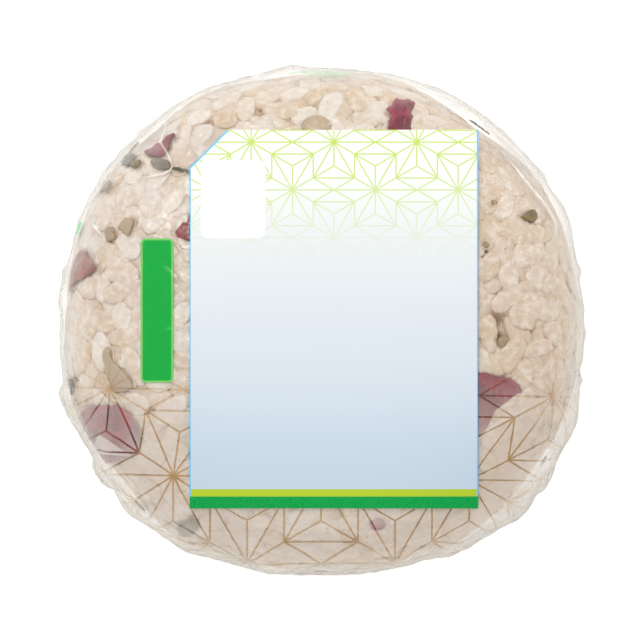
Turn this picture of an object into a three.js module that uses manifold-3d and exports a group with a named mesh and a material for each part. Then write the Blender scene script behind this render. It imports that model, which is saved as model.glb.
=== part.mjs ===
// A round onigiri in a clear film pack, lying on its back with the label up.
// Millimetres, +Z up, +X to the label's right, +Y to its top, origin at the centre of the base.
//
// The pack is one closed solid out to the film: pressed rice with a flat-topped bump for each grain that
// shows through the tight film, the film's pleats at both ends, and the folded tails and back seam that
// it rests on. The label is a thin bent sheet just above the front face.
import * as THREE from "three";
import { mergeVertices } from "three/addons/utils/BufferGeometryUtils.js";
import { ConvexHull } from "three/addons/math/ConvexHull.js";
import Module from "manifold-3d";

// The pack's plan is a circle with a few soft corners: [turns, amplitude, phase in degrees].
const MEAN_RADIUS = 39.4;
const OUTLINE_WAVES = [
  [1, 0.46, -79],
  [2, 0.65, -7],
  [3, 0.45, -98],
  [4, 0.7, 180],
];

// Side view: a superellipse, flatter on the faces than a ball and rounder on the rim than a drum.
const PACK_HEIGHT = 35.6;
const MIDDLE_HEIGHT = 17.2;
const BACK_DEPTH = 18.2;
const FACE_POWER = 4.2;
const RIM_POWER = 2.4;
const MERIDIAN_STEPS = 200;

// Layers of film folded under the back, which the pack rests on.
const LAYER_THICKNESS = 0.4;
const LAYER_ROOT = 0.5;
const LAYER_INSET = 0.1;
const LAYER_MARGIN = 1.2;
const TAIL_LENGTH = 24;
const TAIL_ROOT_WIDTH = 26;
const TAIL_TIP_WIDTH = 16;
const SEAM_WIDTH = 11;
const SEAM_LENGTH = 50;

// Cooked short-grain rice, pressed flat by the film. Shorter ones are those that others partly cover.
const GRAIN_LENGTHS = [6.4, 5.6, 4.8, 4];
const GRAIN_WIDTH = 3.3;
const GRAIN_TRIES = 5000;
const GRAIN_CLEARANCE = 2.5;
const GRAIN_TOP = 0.6;
const GRAIN_TIP = 0.65;
const GRAIN_DROP = 0.2;
const GRAIN_SINK = 0.25;
const GROOVE_TRIES = 40000;
const GROOVE_DEPTH = 1.15;
const GROOVE_SPACING = 1;
const GROOVE_REACH = 2.6;
const GROOVE_TOLERANCE = 0.3;
const SMOOTH_SPACING = 5;

// The film's pleats run down each end and draw together under the back: [end, offset, height].
const PLEATS = [
  [0, -44, 1.2],
  [0, -16, 0.6],
  [0, 14, 0.5],
  [0, 43, 0.5],
  [180, -45, 0.5],
  [180, -14, 0.5],
  [180, 20, 1.2],
  [180, 44, 1],
];
const PLEAT_GATHER = 0.42;
const PLEAT_START = 37;
const PLEAT_END = 75;
const PLEAT_STEPS = 8;
const PLEAT_WIDTH = 1.5;
const PLEAT_ROOT_DEPTH = 1.3;
const PLEAT_INSET = 0.2;
const PLEAT_CLEARANCE = 2.2;

// The label: a rectangle with one corner cut off at the top left.
const LABEL_WIDTH = 43;
const LABEL_HEIGHT = 56.4;
const LABEL_CENTRE_X = 1.8;
const LABEL_CENTRE_Y = 0.3;
const LABEL_CUT = 5.6;
const LABEL_INSET = 0.35;
const LABEL_GAP = 0.1;
const LABEL_THICKNESS = 0.3;
const LABEL_COLUMNS = 14;
const LABEL_ROWS = 18;

const RICE_COLOUR = 0xdcc9b8;
const LABEL_COLOUR = 0xdfe8f2;

const wasm = await Module();
wasm.setup();

const radians = THREE.MathUtils.degToRad;

// A seeded draw between 0 and 1, the same on every run.
function makeRandom(seed) {
  let state = seed;
  return () => {
    state = (Math.imul(state, 1664525) + 1013904223) >>> 0;
    return state / 4294967296;
  };
}

function planRadius(angle) {
  let radius = MEAN_RADIUS;
  for (const [turns, amplitude, phase] of OUTLINE_WAVES)
    radius += amplitude * Math.cos(turns * angle - radians(phase));
  return radius;
}

// The side view's curve. rise is 90 degrees at the middle of the front and -90 at the middle of the back.
function profile(rise, radius) {
  const depth = rise > 0 ? PACK_HEIGHT - MIDDLE_HEIGHT : BACK_DEPTH;
  const lift = Math.sign(rise) * Math.abs(Math.sin(rise)) ** (2 / RIM_POWER);
  return { reach: radius * Math.cos(rise) ** (2 / FACE_POWER), z: Math.max(MIDDLE_HEIGHT + depth * lift, LAYER_THICKNESS) };
}

// Distances along the side view's curve, from the middle of the front to the middle of the back.
function makeMeridian() {
  const rows = [];
  let arc = 0;
  for (let k = 0; k <= MERIDIAN_STEPS; k++) {
    const side = 1 - (2 * k) / MERIDIAN_STEPS;
    const rise = Math.sign(side) * (Math.PI / 2) * (1 - (1 - Math.abs(side)) ** (FACE_POWER / 2));
    const { reach, z } = profile(rise, MEAN_RADIUS);
    if (rows.length) arc += Math.hypot(reach - rows.at(-1).reach, z - rows.at(-1).z);
    rows.push({ arc, rise, reach, z });
  }
  return rows;
}

const meridian = makeMeridian();
const meridianLength = meridian.at(-1).arc;
const sphereRadius = meridianLength / Math.PI;

function riseAt(arc) {
  const k = meridian.findIndex((row) => row.arc >= arc);
  if (k <= 0) return k ? meridian.at(-1).rise : meridian[0].rise;
  const [a, b] = [meridian[k - 1], meridian[k]];
  return THREE.MathUtils.mapLinear(arc, a.arc, b.arc, a.rise, b.rise);
}

// Places on the pack are named by directions of a sphere of about its size, so that they can be spread,
// turned and measured simply. surfacePoint gives the film's place for a direction.
function surfacePoint(direction) {
  const angle = Math.atan2(direction.y, direction.x);
  const polar = Math.acos(THREE.MathUtils.clamp(direction.z, -1, 1));
  const { reach, z } = profile(riseAt(polar * sphereRadius), planRadius(angle));
  return new THREE.Vector3(reach * Math.cos(angle), reach * Math.sin(angle), z);
}

function tangents(direction) {
  const axis = Math.abs(direction.z) < 0.9 ? new THREE.Vector3(0, 0, 1) : new THREE.Vector3(0, 1, 0);
  const across = new THREE.Vector3().crossVectors(axis, direction).normalize();
  return [across, new THREE.Vector3().crossVectors(direction, across)];
}

// The direction some millimetres away from another one.
function shifted(direction, axis, distance) {
  return direction.clone().addScaledVector(axis, distance / sphereRadius).normalize();
}

function surfaceNormal(direction) {
  const [across, along] = tangents(direction);
  const u = surfacePoint(shifted(direction, across, 0.4)).sub(surfacePoint(shifted(direction, across, -0.4)));
  const v = surfacePoint(shifted(direction, along, 0.4)).sub(surfacePoint(shifted(direction, along, -0.4)));
  return u.cross(v).normalize();
}

function insetPoint(direction, inset) {
  return surfacePoint(direction).addScaledVector(surfaceNormal(direction), -inset);
}

function randomDirection(random) {
  const z = 2 * random() - 1;
  const angle = 2 * Math.PI * random();
  const reach = Math.sqrt(1 - z * z);
  return new THREE.Vector3(reach * Math.cos(angle), reach * Math.sin(angle), z);
}

function apart(a, b) {
  return a.distanceTo(b) * sphereRadius;
}

// Height of the front face over a point of the plan.
function frontHeight(x, y) {
  const share = Math.min(Math.hypot(x, y) / planRadius(Math.atan2(y, x)), 1);
  return MIDDLE_HEIGHT + (PACK_HEIGHT - MIDDLE_HEIGHT) * (1 - share ** FACE_POWER) ** (1 / RIM_POWER);
}

function isUnderLabel({ x, y }) {
  const across = Math.abs(x - LABEL_CENTRE_X) < LABEL_WIDTH / 2;
  const along = Math.abs(y - LABEL_CENTRE_Y) < LABEL_HEIGHT / 2;
  const cut = y - x > LABEL_CENTRE_Y - LABEL_CENTRE_X + (LABEL_HEIGHT + LABEL_WIDTH) / 2 - LABEL_CUT;
  return across && along && !cut;
}

function isUnderLayers({ x, y }) {
  const share = (Math.abs(x) - SEAM_LENGTH / 2 + TAIL_LENGTH) / TAIL_LENGTH;
  const width = THREE.MathUtils.lerp(TAIL_TIP_WIDTH, TAIL_ROOT_WIDTH, THREE.MathUtils.clamp(share, 0, 1));
  return Math.abs(x) < SEAM_LENGTH / 2 + LAYER_MARGIN && Math.abs(y) < width / 2 + LAYER_MARGIN;
}

// The label and the folded layers press smooth what they lie on.
function isSmooth(direction) {
  const point = surfacePoint(direction);
  return point.z > MIDDLE_HEIGHT ? isUnderLabel(point) : isUnderLayers(point);
}

// The line that a pleat follows, from share 0 on the front's shoulder to share 1 under the back.
function pleatDirection(end, offset, share) {
  const polar = THREE.MathUtils.lerp(PLEAT_START, PLEAT_END, share) / sphereRadius;
  const angle = radians(end + offset * THREE.MathUtils.lerp(1, PLEAT_GATHER, share));
  return new THREE.Vector3().setFromSphericalCoords(1, polar, 0).set(
    Math.sin(polar) * Math.cos(angle),
    Math.sin(polar) * Math.sin(angle),
    Math.cos(polar),
  );
}

function pleatLine([end, offset]) {
  const line = [];
  for (let k = 0; k <= 2 * PLEAT_STEPS; k++) line.push(pleatDirection(end, offset, k / (2 * PLEAT_STEPS)));
  return line;
}

// Grains are laid at random, long ones first, each clear of the pleats and of the ones before it.
function layGrains() {
  const random = makeRandom(20817);
  const grains = [];
  const taken = [];
  for (const at of PLEATS.flatMap(pleatLine)) taken.push({ at, room: PLEAT_CLEARANCE });
  for (const length of GRAIN_LENGTHS)
    for (let n = 0; n < GRAIN_TRIES; n++) {
      const direction = randomDirection(random);
      const spin = Math.PI * random();
      const sink = GRAIN_SINK * random();
      const [across, along] = tangents(direction);
      const axis = across.multiplyScalar(Math.cos(spin)).addScaledVector(along, Math.sin(spin));
      if (isSmooth(direction)) continue;
      const half = (length - GRAIN_WIDTH) / 2;
      const spots = [-half, 0, half].map((distance) => shifted(direction, axis, distance));
      if (taken.some(({ at, room }) => spots.some((spot) => apart(at, spot) < room))) continue;
      for (const at of spots) taken.push({ at, room: GRAIN_CLEARANCE });
      grains.push({ direction, axis, half, sink, spots });
    }
  return grains;
}

// Corners of the surface: [direction, inset]. Each grain is a ridge with four corners and a lower tip at
// each end.
function grainCorners({ direction, axis, half, sink }) {
  const side = new THREE.Vector3().crossVectors(direction, axis);
  const at = (u, v) => shifted(shifted(direction, axis, u), side, v);
  const corners = [];
  for (const end of [-1, 1]) {
    corners.push([at(end * (half + GRAIN_TIP), 0), sink + GRAIN_DROP]);
    for (const edge of [-1, 1]) corners.push([at(end * half * 0.6, edge * GRAIN_TOP), sink]);
  }
  return corners;
}

// Grooves run half way between neighbouring grains.
function grooveCorners(grains, random) {
  const axes = grains.map(({ spots }) => new THREE.Line3(spots[0], spots[2]));
  const pleatSpots = PLEATS.flatMap(pleatLine);
  const foot = new THREE.Vector3();
  const corners = [];
  for (let n = 0; n < GROOVE_TRIES; n++) {
    const direction = randomDirection(random);
    const gaps = axes.map((axis) => apart(axis.closestPointToPoint(direction, true, foot), direction));
    const nearest = Math.min(...gaps);
    const level = gaps.filter((gap) => gap < nearest + GROOVE_TOLERANCE).length > 1;
    if ((!level && nearest < GROOVE_REACH) || isSmooth(direction)) continue;
    if (pleatSpots.some((spot) => apart(spot, direction) < PLEAT_WIDTH)) continue;
    if (corners.every(([other]) => apart(other, direction) > GROOVE_SPACING)) corners.push([direction, GROOVE_DEPTH]);
  }
  return corners;
}

function smoothCorners(random) {
  const corners = [];
  for (const direction of PLEATS.flatMap(pleatLine)) corners.push([direction, PLEAT_INSET]);
  for (let n = 0; n < GRAIN_TRIES; n++) {
    const direction = randomDirection(random);
    if (!isSmooth(direction)) continue;
    const inset = direction.z > 0 ? LABEL_INSET : LAYER_INSET;
    if (corners.every(([other]) => apart(other, direction) > SMOOTH_SPACING)) corners.push([direction, inset]);
  }
  return corners;
}

// The rice as the film presses it: corners joined as the hull of their directions joins them.
function makeRice() {
  const random = makeRandom(977);
  const grains = layGrains();
  const corners = [...grains.flatMap(grainCorners), ...grooveCorners(grains, random), ...smoothCorners(random)];
  const directions = corners.map(([direction]) => direction);
  const order = new Map(directions.map((direction, i) => [direction, i]));
  const indices = [];
  for (const face of new ConvexHull().setFromPoints(directions).faces) {
    let edge = face.edge;
    do {
      indices.push(order.get(edge.head().point));
      edge = edge.next;
    } while (edge !== face.edge);
  }
  const positions = corners.flatMap(([direction, inset]) => insetPoint(direction, inset).toArray());
  return toSolid(meshGeometry(positions, indices));
}

function meshGeometry(positions, indices) {
  const geometry = new THREE.BufferGeometry();
  geometry.setAttribute("position", new THREE.Float32BufferAttribute(positions, 3));
  geometry.setIndex(indices);
  return geometry;
}

function toSolid(geometry) {
  const bare = geometry.clone();
  for (const name of ["normal", "uv"]) bare.deleteAttribute(name);
  const merged = mergeVertices(bare, 1e-4);
  return new wasm.Manifold(
    new wasm.Mesh({
      numProp: 3,
      vertProperties: new Float32Array(merged.attributes.position.array),
      triVerts: new Uint32Array(merged.index.array),
    }),
  );
}

function toGeometry(solid) {
  const mesh = solid.getMesh();
  const positions = [];
  for (let i = 0; i < mesh.numVert; i++)
    positions.push(...mesh.vertProperties.subarray(i * mesh.numProp, i * mesh.numProp + 3));
  const geometry = meshGeometry(positions, Array.from(mesh.triVerts));
  geometry.computeVertexNormals();
  return geometry;
}

// A closed grid: rings of points joined in order, with a flat fan at each end.
function closedRings(rings) {
  const count = rings[0].length;
  const indices = [];
  for (let ring = 0; ring < rings.length - 1; ring++)
    for (let i = 0; i < count; i++) {
      const a = ring * count + i;
      const b = ring * count + ((i + 1) % count);
      indices.push(a, b, b + count, a, b + count, a + count);
    }
  const last = (rings.length - 1) * count;
  for (let i = 1; i < count - 1; i++) {
    indices.push(0, i + 1, i);
    indices.push(last, last + i, last + i + 1);
  }
  return meshGeometry(rings.flat().flatMap((point) => point.toArray()), indices);
}

// One pleat: a thin ridge of folded film from the front's shoulder down the rim and under.
function makePleat([end, offset, height]) {
  const sections = [];
  for (let k = 0; k <= PLEAT_STEPS; k++) {
    const share = k / PLEAT_STEPS;
    const direction = pleatDirection(end, offset, share);
    const onward = pleatDirection(end, offset, share + 0.02).sub(direction);
    const side = direction.clone().cross(onward).normalize();
    const proud = height * Math.sin(Math.PI * share) ** 0.6;
    const root = insetPoint(direction, PLEAT_ROOT_DEPTH);
    sections.push([
      root.clone().addScaledVector(side, -PLEAT_WIDTH / 2),
      root.clone().addScaledVector(side, PLEAT_WIDTH / 2),
      insetPoint(direction, -proud),
    ]);
  }
  return toSolid(closedRings(sections));
}

// The two tails of film folded under the back, and the seam that they lie over.
function makeBackLayers() {
  const thickness = LAYER_THICKNESS + LAYER_ROOT;
  const seam = new THREE.BoxGeometry(SEAM_LENGTH, SEAM_WIDTH, thickness).translate(0, 0, thickness / 2);
  const solids = [toSolid(seam)];
  for (const side of [-1, 1]) {
    const root = (side * SEAM_LENGTH) / 2;
    const tip = root - side * TAIL_LENGTH;
    const tail = new THREE.Shape([
      new THREE.Vector2(root, -TAIL_ROOT_WIDTH / 2),
      new THREE.Vector2(root, TAIL_ROOT_WIDTH / 2),
      new THREE.Vector2(tip, TAIL_TIP_WIDTH / 2),
      new THREE.Vector2(tip, -TAIL_TIP_WIDTH / 2),
    ]);
    solids.push(toSolid(new THREE.ExtrudeGeometry(tail, { depth: thickness, bevelEnabled: false })));
  }
  return solids;
}

function makePack() {
  let solid = makeRice();
  for (const piece of [...makeBackLayers(), ...PLEATS.map(makePleat)]) solid = solid.add(piece);
  return toGeometry(solid);
}

// The label follows the front face a little above it, and its plan is exactly a rectangle less one corner.
function makeLabel() {
  const left = LABEL_CENTRE_X - LABEL_WIDTH / 2;
  const bottom = LABEL_CENTRE_Y - LABEL_HEIGHT / 2;
  const top = bottom + LABEL_HEIGHT;
  const positions = [];
  const indices = [];
  const row = LABEL_COLUMNS + 1;
  const layer = row * (LABEL_ROWS + 1);
  for (const lift of [LABEL_GAP, LABEL_GAP + LABEL_THICKNESS])
    for (let j = 0; j <= LABEL_ROWS; j++)
      for (let i = 0; i <= LABEL_COLUMNS; i++) {
        const x = left + (LABEL_WIDTH * i) / LABEL_COLUMNS;
        const highest = Math.min(top, top - LABEL_CUT + (x - left));
        const y = bottom + ((highest - bottom) * j) / LABEL_ROWS;
        positions.push(x, y, frontHeight(x, y) + lift);
      }
  const face = (a, b, c, d) => indices.push(a, b, c, a, c, d);
  for (let j = 0; j < LABEL_ROWS; j++)
    for (let i = 0; i < LABEL_COLUMNS; i++) {
      const a = j * row + i;
      face(a, a + row, a + row + 1, a + 1);
      face(layer + a, layer + a + 1, layer + a + row + 1, layer + a + row);
    }
  const rim = [];
  for (let i = 0; i < LABEL_COLUMNS; i++) rim.push(i);
  for (let j = 0; j < LABEL_ROWS; j++) rim.push(j * row + LABEL_COLUMNS);
  for (let i = LABEL_COLUMNS; i > 0; i--) rim.push(LABEL_ROWS * row + i);
  for (let j = LABEL_ROWS; j > 0; j--) rim.push(j * row);
  rim.forEach((a, k) => {
    const b = rim[(k + 1) % rim.length];
    face(a, b, layer + b, layer + a);
  });
  const geometry = meshGeometry(positions, indices);
  geometry.computeVertexNormals();
  return geometry;
}

function namedMesh(name, geometry, colour, roughness) {
  const mesh = new THREE.Mesh(
    geometry,
    new THREE.MeshStandardMaterial({ color: colour, roughness, metalness: 0 }),
  );
  mesh.name = name;
  return mesh;
}

const onigiri = new THREE.Group();
onigiri.add(namedMesh("rice_pack", makePack(), RICE_COLOUR, 0.45));
onigiri.add(namedMesh("label", makeLabel(), LABEL_COLOUR, 0.5));

export default onigiri;
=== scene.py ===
import math

import bpy
import numpy as np
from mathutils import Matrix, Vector
from mathutils.geometry import delaunay_2d_cdt


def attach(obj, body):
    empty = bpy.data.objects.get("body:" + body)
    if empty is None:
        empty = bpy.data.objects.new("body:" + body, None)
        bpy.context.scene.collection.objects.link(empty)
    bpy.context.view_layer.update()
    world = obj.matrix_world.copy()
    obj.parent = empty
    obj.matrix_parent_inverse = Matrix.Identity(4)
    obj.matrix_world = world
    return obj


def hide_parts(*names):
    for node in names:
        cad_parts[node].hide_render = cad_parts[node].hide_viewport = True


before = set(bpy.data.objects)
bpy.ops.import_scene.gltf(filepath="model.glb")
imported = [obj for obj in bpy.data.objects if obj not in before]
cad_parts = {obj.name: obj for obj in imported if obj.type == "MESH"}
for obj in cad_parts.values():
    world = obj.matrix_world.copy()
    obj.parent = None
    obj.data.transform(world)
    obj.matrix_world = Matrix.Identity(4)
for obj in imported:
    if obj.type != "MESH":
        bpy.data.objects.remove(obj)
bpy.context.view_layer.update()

# An onigiri rice ball, round and flat like a cake, in clear film with a paper label on its face.
# The shape is worked out in millimetres: X to the right, Y to the top of the label, Z up.
MM = 0.001
SEED = 61

# The pack's outline from above, its side view, and how far the two powers round them off.
MEAN_RADIUS = 39.4
OUTLINE_WAVES = [(1, 0.46, -79), (2, 0.65, -7), (3, 0.45, -98), (4, 0.7, 180)]
PACK_HEIGHT = 35.6
MIDDLE_HEIGHT = 17.2
BACK_DEPTH = 18.2
FACE_POWER = 4.2
RIM_POWER = 2.4
MERIDIAN_STEPS = 200
MERIDIAN_POWER = 2.1
BASE_HEIGHT = 0.42

# Film: dents and ears of its outline as [angle, width in degrees, depth], and its small waves.
FILM_DENTS = [
    (198, 4, 0.7), (210, 3, -0.6), (219, 3, -0.5), (224, 4, 0.5), (240, 4, 0.6), (258, 5, 0.5),
    (294, 4, -0.4), (300, 6, 0.3), (316, 5, 1.0), (337, 6, 0.6), (348, 3, -0.5),
    (140, 4, -0.1), (149, 4, 0.3), (158, 4, 0.3), (174, 4, 0.5), (120, 4, 0.2), (97, 4, 0.7),
    (64, 6, 0.2), (24, 8, 0.9),
]
FILM_COLUMNS = 420
FILM_ROWS = 190
FILM_WAVE = 0.1

# Creases of the film all round: how many, where on the side view as [middle, spread], and their sizes.
FILM_CREASES = 95
CREASE_SEED = 7
CREASE_ARC = (48, 11)
CREASE_LENGTH = (5, 19)
CREASE_WIDTH = (0.4, 1.0)
CREASE_HEIGHT = (0.05, 0.2)

# How milky the film is: where it is smooth, at the rim, where it stands off there, in creases, in tails.
FILM_VEIL = 0.015
RIM_VEIL = 0.2
LOOSE_VEIL = 0.14
CREASE_VEIL = 0.26
TAIL_VEIL = 0.06
SHINE_POWER = 3.2

# The film stands off the rice at the rim, as [angle, width in degrees, gap].
RIM_GAPS = [
    (52, 14, 2.0), (218, 13, 2.2), (322, 20, 2.0), (132, 8, 1.0), (178, 9, 0.3), (100, 10, 0.6),
]
LEAST_GAP = 0.12
RIM_GAP = 0.12

# Places where the film is crumpled or lies double, as [x, y, radius, milkiness].
MILKY_PLACES = [
    (28.5, 25.5, 4.0, 0.35), (32.5, 20.5, 2.2, 0.3), (-26.5, 28.5, 3.2, 0.4), (-24.6, 25.6, 2.0, 0.2),
    (-33.6, 13.4, 1.4, 0.45), (-34.5, 9.5, 2.2, 0.25), (-36.5, -14.0, 2.0, 0.3), (-32.0, -24.0, 2.4, 0.35),
    (34.0, -16.0, 3.0, 0.25), (28.0, -28.0, 3.4, 0.25), (-25.5, 22.3, 1.3, 0.3),
]

# Small green marks printed on the film at its rim, as [x, y, half length, half width, turn, strength].
FILM_MARKS = [
    (-36.6, 13.9, 1.2, 0.65, 62, 0.95), (-38.7, 5.4, 0.9, 0.2, 75, 0.5), (-39.0, 0.8, 0.35, 0.3, 0, 0.6),
    (-39.0, 1.6, 0.3, 0.25, 0, 0.5), (37.9, 10.9, 1.9, 0.45, 97, 0.3), (-0.5, 37.1, 5.0, 0.6, 0, 0.5),
]
MARK_DROP = 0.6

# Folds of the film whose whitish strips are a painted highlight of the light they catch, as [strength, line
# of (x, y, half width) in the plan].
FILM_FOLDS = [
    (0.9, [(26.4, 26.2, 0.08), (28.2, 23.9, 0.25), (29.8, 21.8, 0.42), (31.7, 19.5, 0.5),
        (33.5, 17.3, 0.5), (34.5, 15.6, 0.65), (34.9, 14.6, 0.95), (35.0, 13.6, 0.6), (35.0, 12.6, 0.1)]),
    (0.6, [(35.2, 18.6, 0.1), (35.4, 16.6, 0.25), (35.9, 14.4, 0.3), (36.6, 11.8, 0.25),
        (37.0, 9.6, 0.1)]),
    (0.8, [(-23.4, 30.4, 0.1), (-23.5, 28.6, 0.15), (-24.3, 26.8, 0.17), (-24.2, 26.6, 0.1)]),
    (0.8, [(-24.2, 26.6, 0.1), (-23.3, 25.4, 0.17), (-22.7, 24.1, 0.2), (-22.4, 23.2, 0.16),
        (-22.7, 22.6, 0.18), (-23.8, 22.0, 0.26), (-25.2, 21.7, 0.32), (-26.5, 21.5, 0.12)]),
    (0.8, [(-34.6, 14.6, 0.1), (-33.6, 13.8, 0.5), (-33.0, 12.8, 0.1)]),
    (0.5, [(-28.6, 22.9, 0.08), (-30.1, 21.7, 0.16), (-31.6, 20.2, 0.12), (-32.8, 18.5, 0.08)]),
    (0.5, [(-36.6, 2.0, 0.08), (-36.9, -0.6, 0.18), (-36.8, -3.4, 0.08)]),
    (0.6, [(34.7, -20.1, 0.1), (32.4, -22.6, 0.2), (29.6, -25.0, 0.22), (27.0, -26.6, 0.1)]),
    (0.6, [(-30.6, -21.9, 0.1), (-28.0, -25.0, 0.2), (-25.0, -27.4, 0.1)]),
    (0.2, [(-36.2, -13.6, 0.2), (-35.4, -16.4, 0.9), (-33.8, -19.6, 1.1), (-31.8, -22.4, 0.9),
        (-29.8, -24.6, 0.2)]),
    (0.35, [(-33.4, -22.2, 0.2), (-31.0, -25.2, 0.8), (-27.6, -28.0, 0.7), (-24.8, -29.9, 0.2)]),
    (0.4, [(-30.6, 26.0, 0.2), (-28.6, 28.0, 1.0), (-26.2, 29.8, 1.1), (-23.8, 31.4, 0.3)]),
    (0.3, [(-28.9, 21.0, 0.2), (-27.0, 20.0, 1.1), (-24.8, 19.4, 1.2), (-22.6, 19.8, 0.3)]),
    (0.4, [(24.6, 29.4, 0.2), (27.8, 26.8, 0.9), (30.4, 24.0, 1.0), (32.2, 21.4, 0.3)]),
    (0.35, [(35.6, -17.0, 0.2), (33.4, -20.8, 0.8), (30.6, -23.8, 0.9), (27.0, -26.4, 0.2)]),
]

# Pleats of the two folded ends, as [end's angle, offset, height], and the tails under the base.
PLEATS = [
    (0, -44, 1.2), (0, -16, 0.6), (0, 14, 0.5), (0, 43, 0.5),
    (180, -45, 0.5), (180, -14, 0.5), (180, 20, 1.2), (180, 44, 1.0),
]
PLEAT_GATHER = 0.42
PLEAT_START = 37
PLEAT_END = 75
TAIL_LENGTH = 24
TAIL_ROOT_WIDTH = 26
TAIL_TIP_WIDTH = 16
TAIL_ROOT = 25
SEAM_WIDTH = 11
SEAM_LENGTH = 50
SEAM_LEVELS = (0.37, 0.41)
# Each layer of a tail as [share of its width, low side, upper side].
TAIL_LEVELS = [(1.0, 0.22, 0.26), (0.8, 0.04, 0.08)]
TAIL_GRID = (18, 30)

# Rice: size of a grain, and how much of each other the footprints of a layer may share.
GRAIN_LENGTHS = (4.6, 6.9)
GRAIN_WIDTHS = (3.1, 4.0)
GRAIN_TALL = 1.8
GRAIN_REST = 0.38
GRAIN_SEGMENTS = 12
GRAIN_RINGS = (22, 42, 62, 82, 104, 135)
LAYERS = [
    # depth, tries, clearance to its own layer, clearance to the layers above
    (0.0, 16000, 0.7, 1.0),
    (0.16, 16000, 0.66, 0.5),
    (0.38, 12000, 0.64, 0.36),
]

# How softly grains flatten under the film, how far they run on under the label, and the bed below.
PRESS_SOFTNESS = 0.16
LABEL_OVERLAP = 3.5
CORE_ROWS = 150
CORE_COLUMNS = 260
CORE_DEPTH = 0.46
CORE_LUMPS = [(7.0, 0.2), (3.4, 0.16), (1.6, 0.07)]

# Hollows between grains, as [x, y, radius] in the plan, and the others of the rim and back.
HOLLOWS = [
    (26.6, 0.1, 1.25), (29.6, 7.6, 1.1), (31.2, -1.7, 0.9), (24.5, 10.8, 1.0), (26.8, -2.9, 1.3),
    (-17.4, 30.2, 0.7), (-26.2, 19.6, 0.9), (-20.7, -11.9, 0.8), (22.8, 7.0, 0.8), (33.4, -6.4, 0.9),
    (-33.0, 3.4, 0.7), (17.0, 31.6, 0.8), (4.4, 31.2, 0.7), (-9.5, 31.9, 0.8),
]
MORE_HOLLOWS = 60
HOLLOW_DEPTH = 1.5
HOLLOW_EDGE = 0.12

# The label: a rectangle with its top left corner cut off.
LABEL_WIDTH = 43
LABEL_HEIGHT = 56.4
LABEL_CENTRE = (1.8, 0.3)
LABEL_CUT = 5.6
LABEL_LOW = 0.12
LABEL_TOP = 0.38
LABEL_GRID = (98, 74)
PATCH_CENTRE = (-15.1, 17.95)
PATCH_SIZE = (9.6, 11.6)
LIME_STRIPE = -25.47
GREEN_STRIPE = -26.57

# Pieces that show on the face, as [tone, paleness, outline in the plan]. Plum goes from crimson at
# tone 0 to brick red at 1, and seaweed from slate at 0 to olive at 1.
PLUM_PIECES = [
    (0.0, 0.0, [(11.1, 33.7), (11.8, 33.2), (12.8, 33.3), (13.8, 33.0), (14.0, 32.6), (13.5, 31.9),
        (13.3, 31.2), (13.7, 30.8), (13.3, 30.1), (13.5, 26.9), (9.8, 26.9), (9.9, 28.6), (10.1, 30.0),
        (10.4, 30.8), (10.1, 31.4), (9.5, 31.9), (9.8, 32.3), (10.5, 32.2)]),
    (0.6, 0.0, [(-24.1, 26.8), (-23.5, 27.8), (-22.8, 28.1), (-22.0, 28.3), (-22.5, 27.6), (-23.1, 26.6),
        (-23.2, 25.8), (-22.8, 24.9), (-23.5, 26.0)]),
    (0.1, 0.0, [(-26.7, 25.5), (-25.5, 26.0), (-25.0, 26.7), (-24.1, 26.6), (-23.6, 25.7), (-23.5, 25.1),
        (-24.6, 24.6), (-25.5, 24.8), (-26.4, 25.1)]),
    (0.8, 0.0, [(-22.1, 13.1), (-21.4, 14.1), (-20.7, 14.9), (-20.2, 14.7), (-19.8, 16.1), (-19.3, 16.2),
        (-19.2, 11.9), (-20.7, 12.2), (-21.7, 12.6)]),
    (1.0, 0.0, [(-38.4, 4.7), (-37.8, 8.0), (-37.2, 9.6), (-36.3, 10.8), (-35.4, 10.2), (-34.0, 8.3),
        (-33.9, 7.7), (-35.7, 6.5), (-37.2, 5.9), (-38.1, 4.4)]),
    (0.0, 0.0, [(-36.7, -13.9), (-34.5, -12.9), (-33.3, -12.7), (-31.5, -12.6), (-30.0, -13.0),
        (-28.8, -13.8), (-28.3, -15.1), (-27.3, -16.3), (-27.1, -17.8), (-27.7, -19.6), (-29.4, -20.5),
        (-31.5, -21.4), (-32.7, -21.3), (-34.5, -19.0), (-36.0, -16.6)]),
    (0.1, 0.05, [(21.6, -8.8), (23.3, -7.9), (24.8, -7.8), (26.0, -8.2), (27.9, -8.4), (29.3, -9.4),
        (30.2, -10.5), (29.1, -10.9), (28.2, -11.8), (26.3, -12.9), (25.4, -14.5), (24.5, -16.3),
        (22.8, -17.8), (21.6, -17.5)]),
    (0.2, 0.0, [(6.9, -30.4), (8.1, -29.7), (9.8, -30.1), (9.3, -31.3), (7.7, -31.5)]),
]
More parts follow.
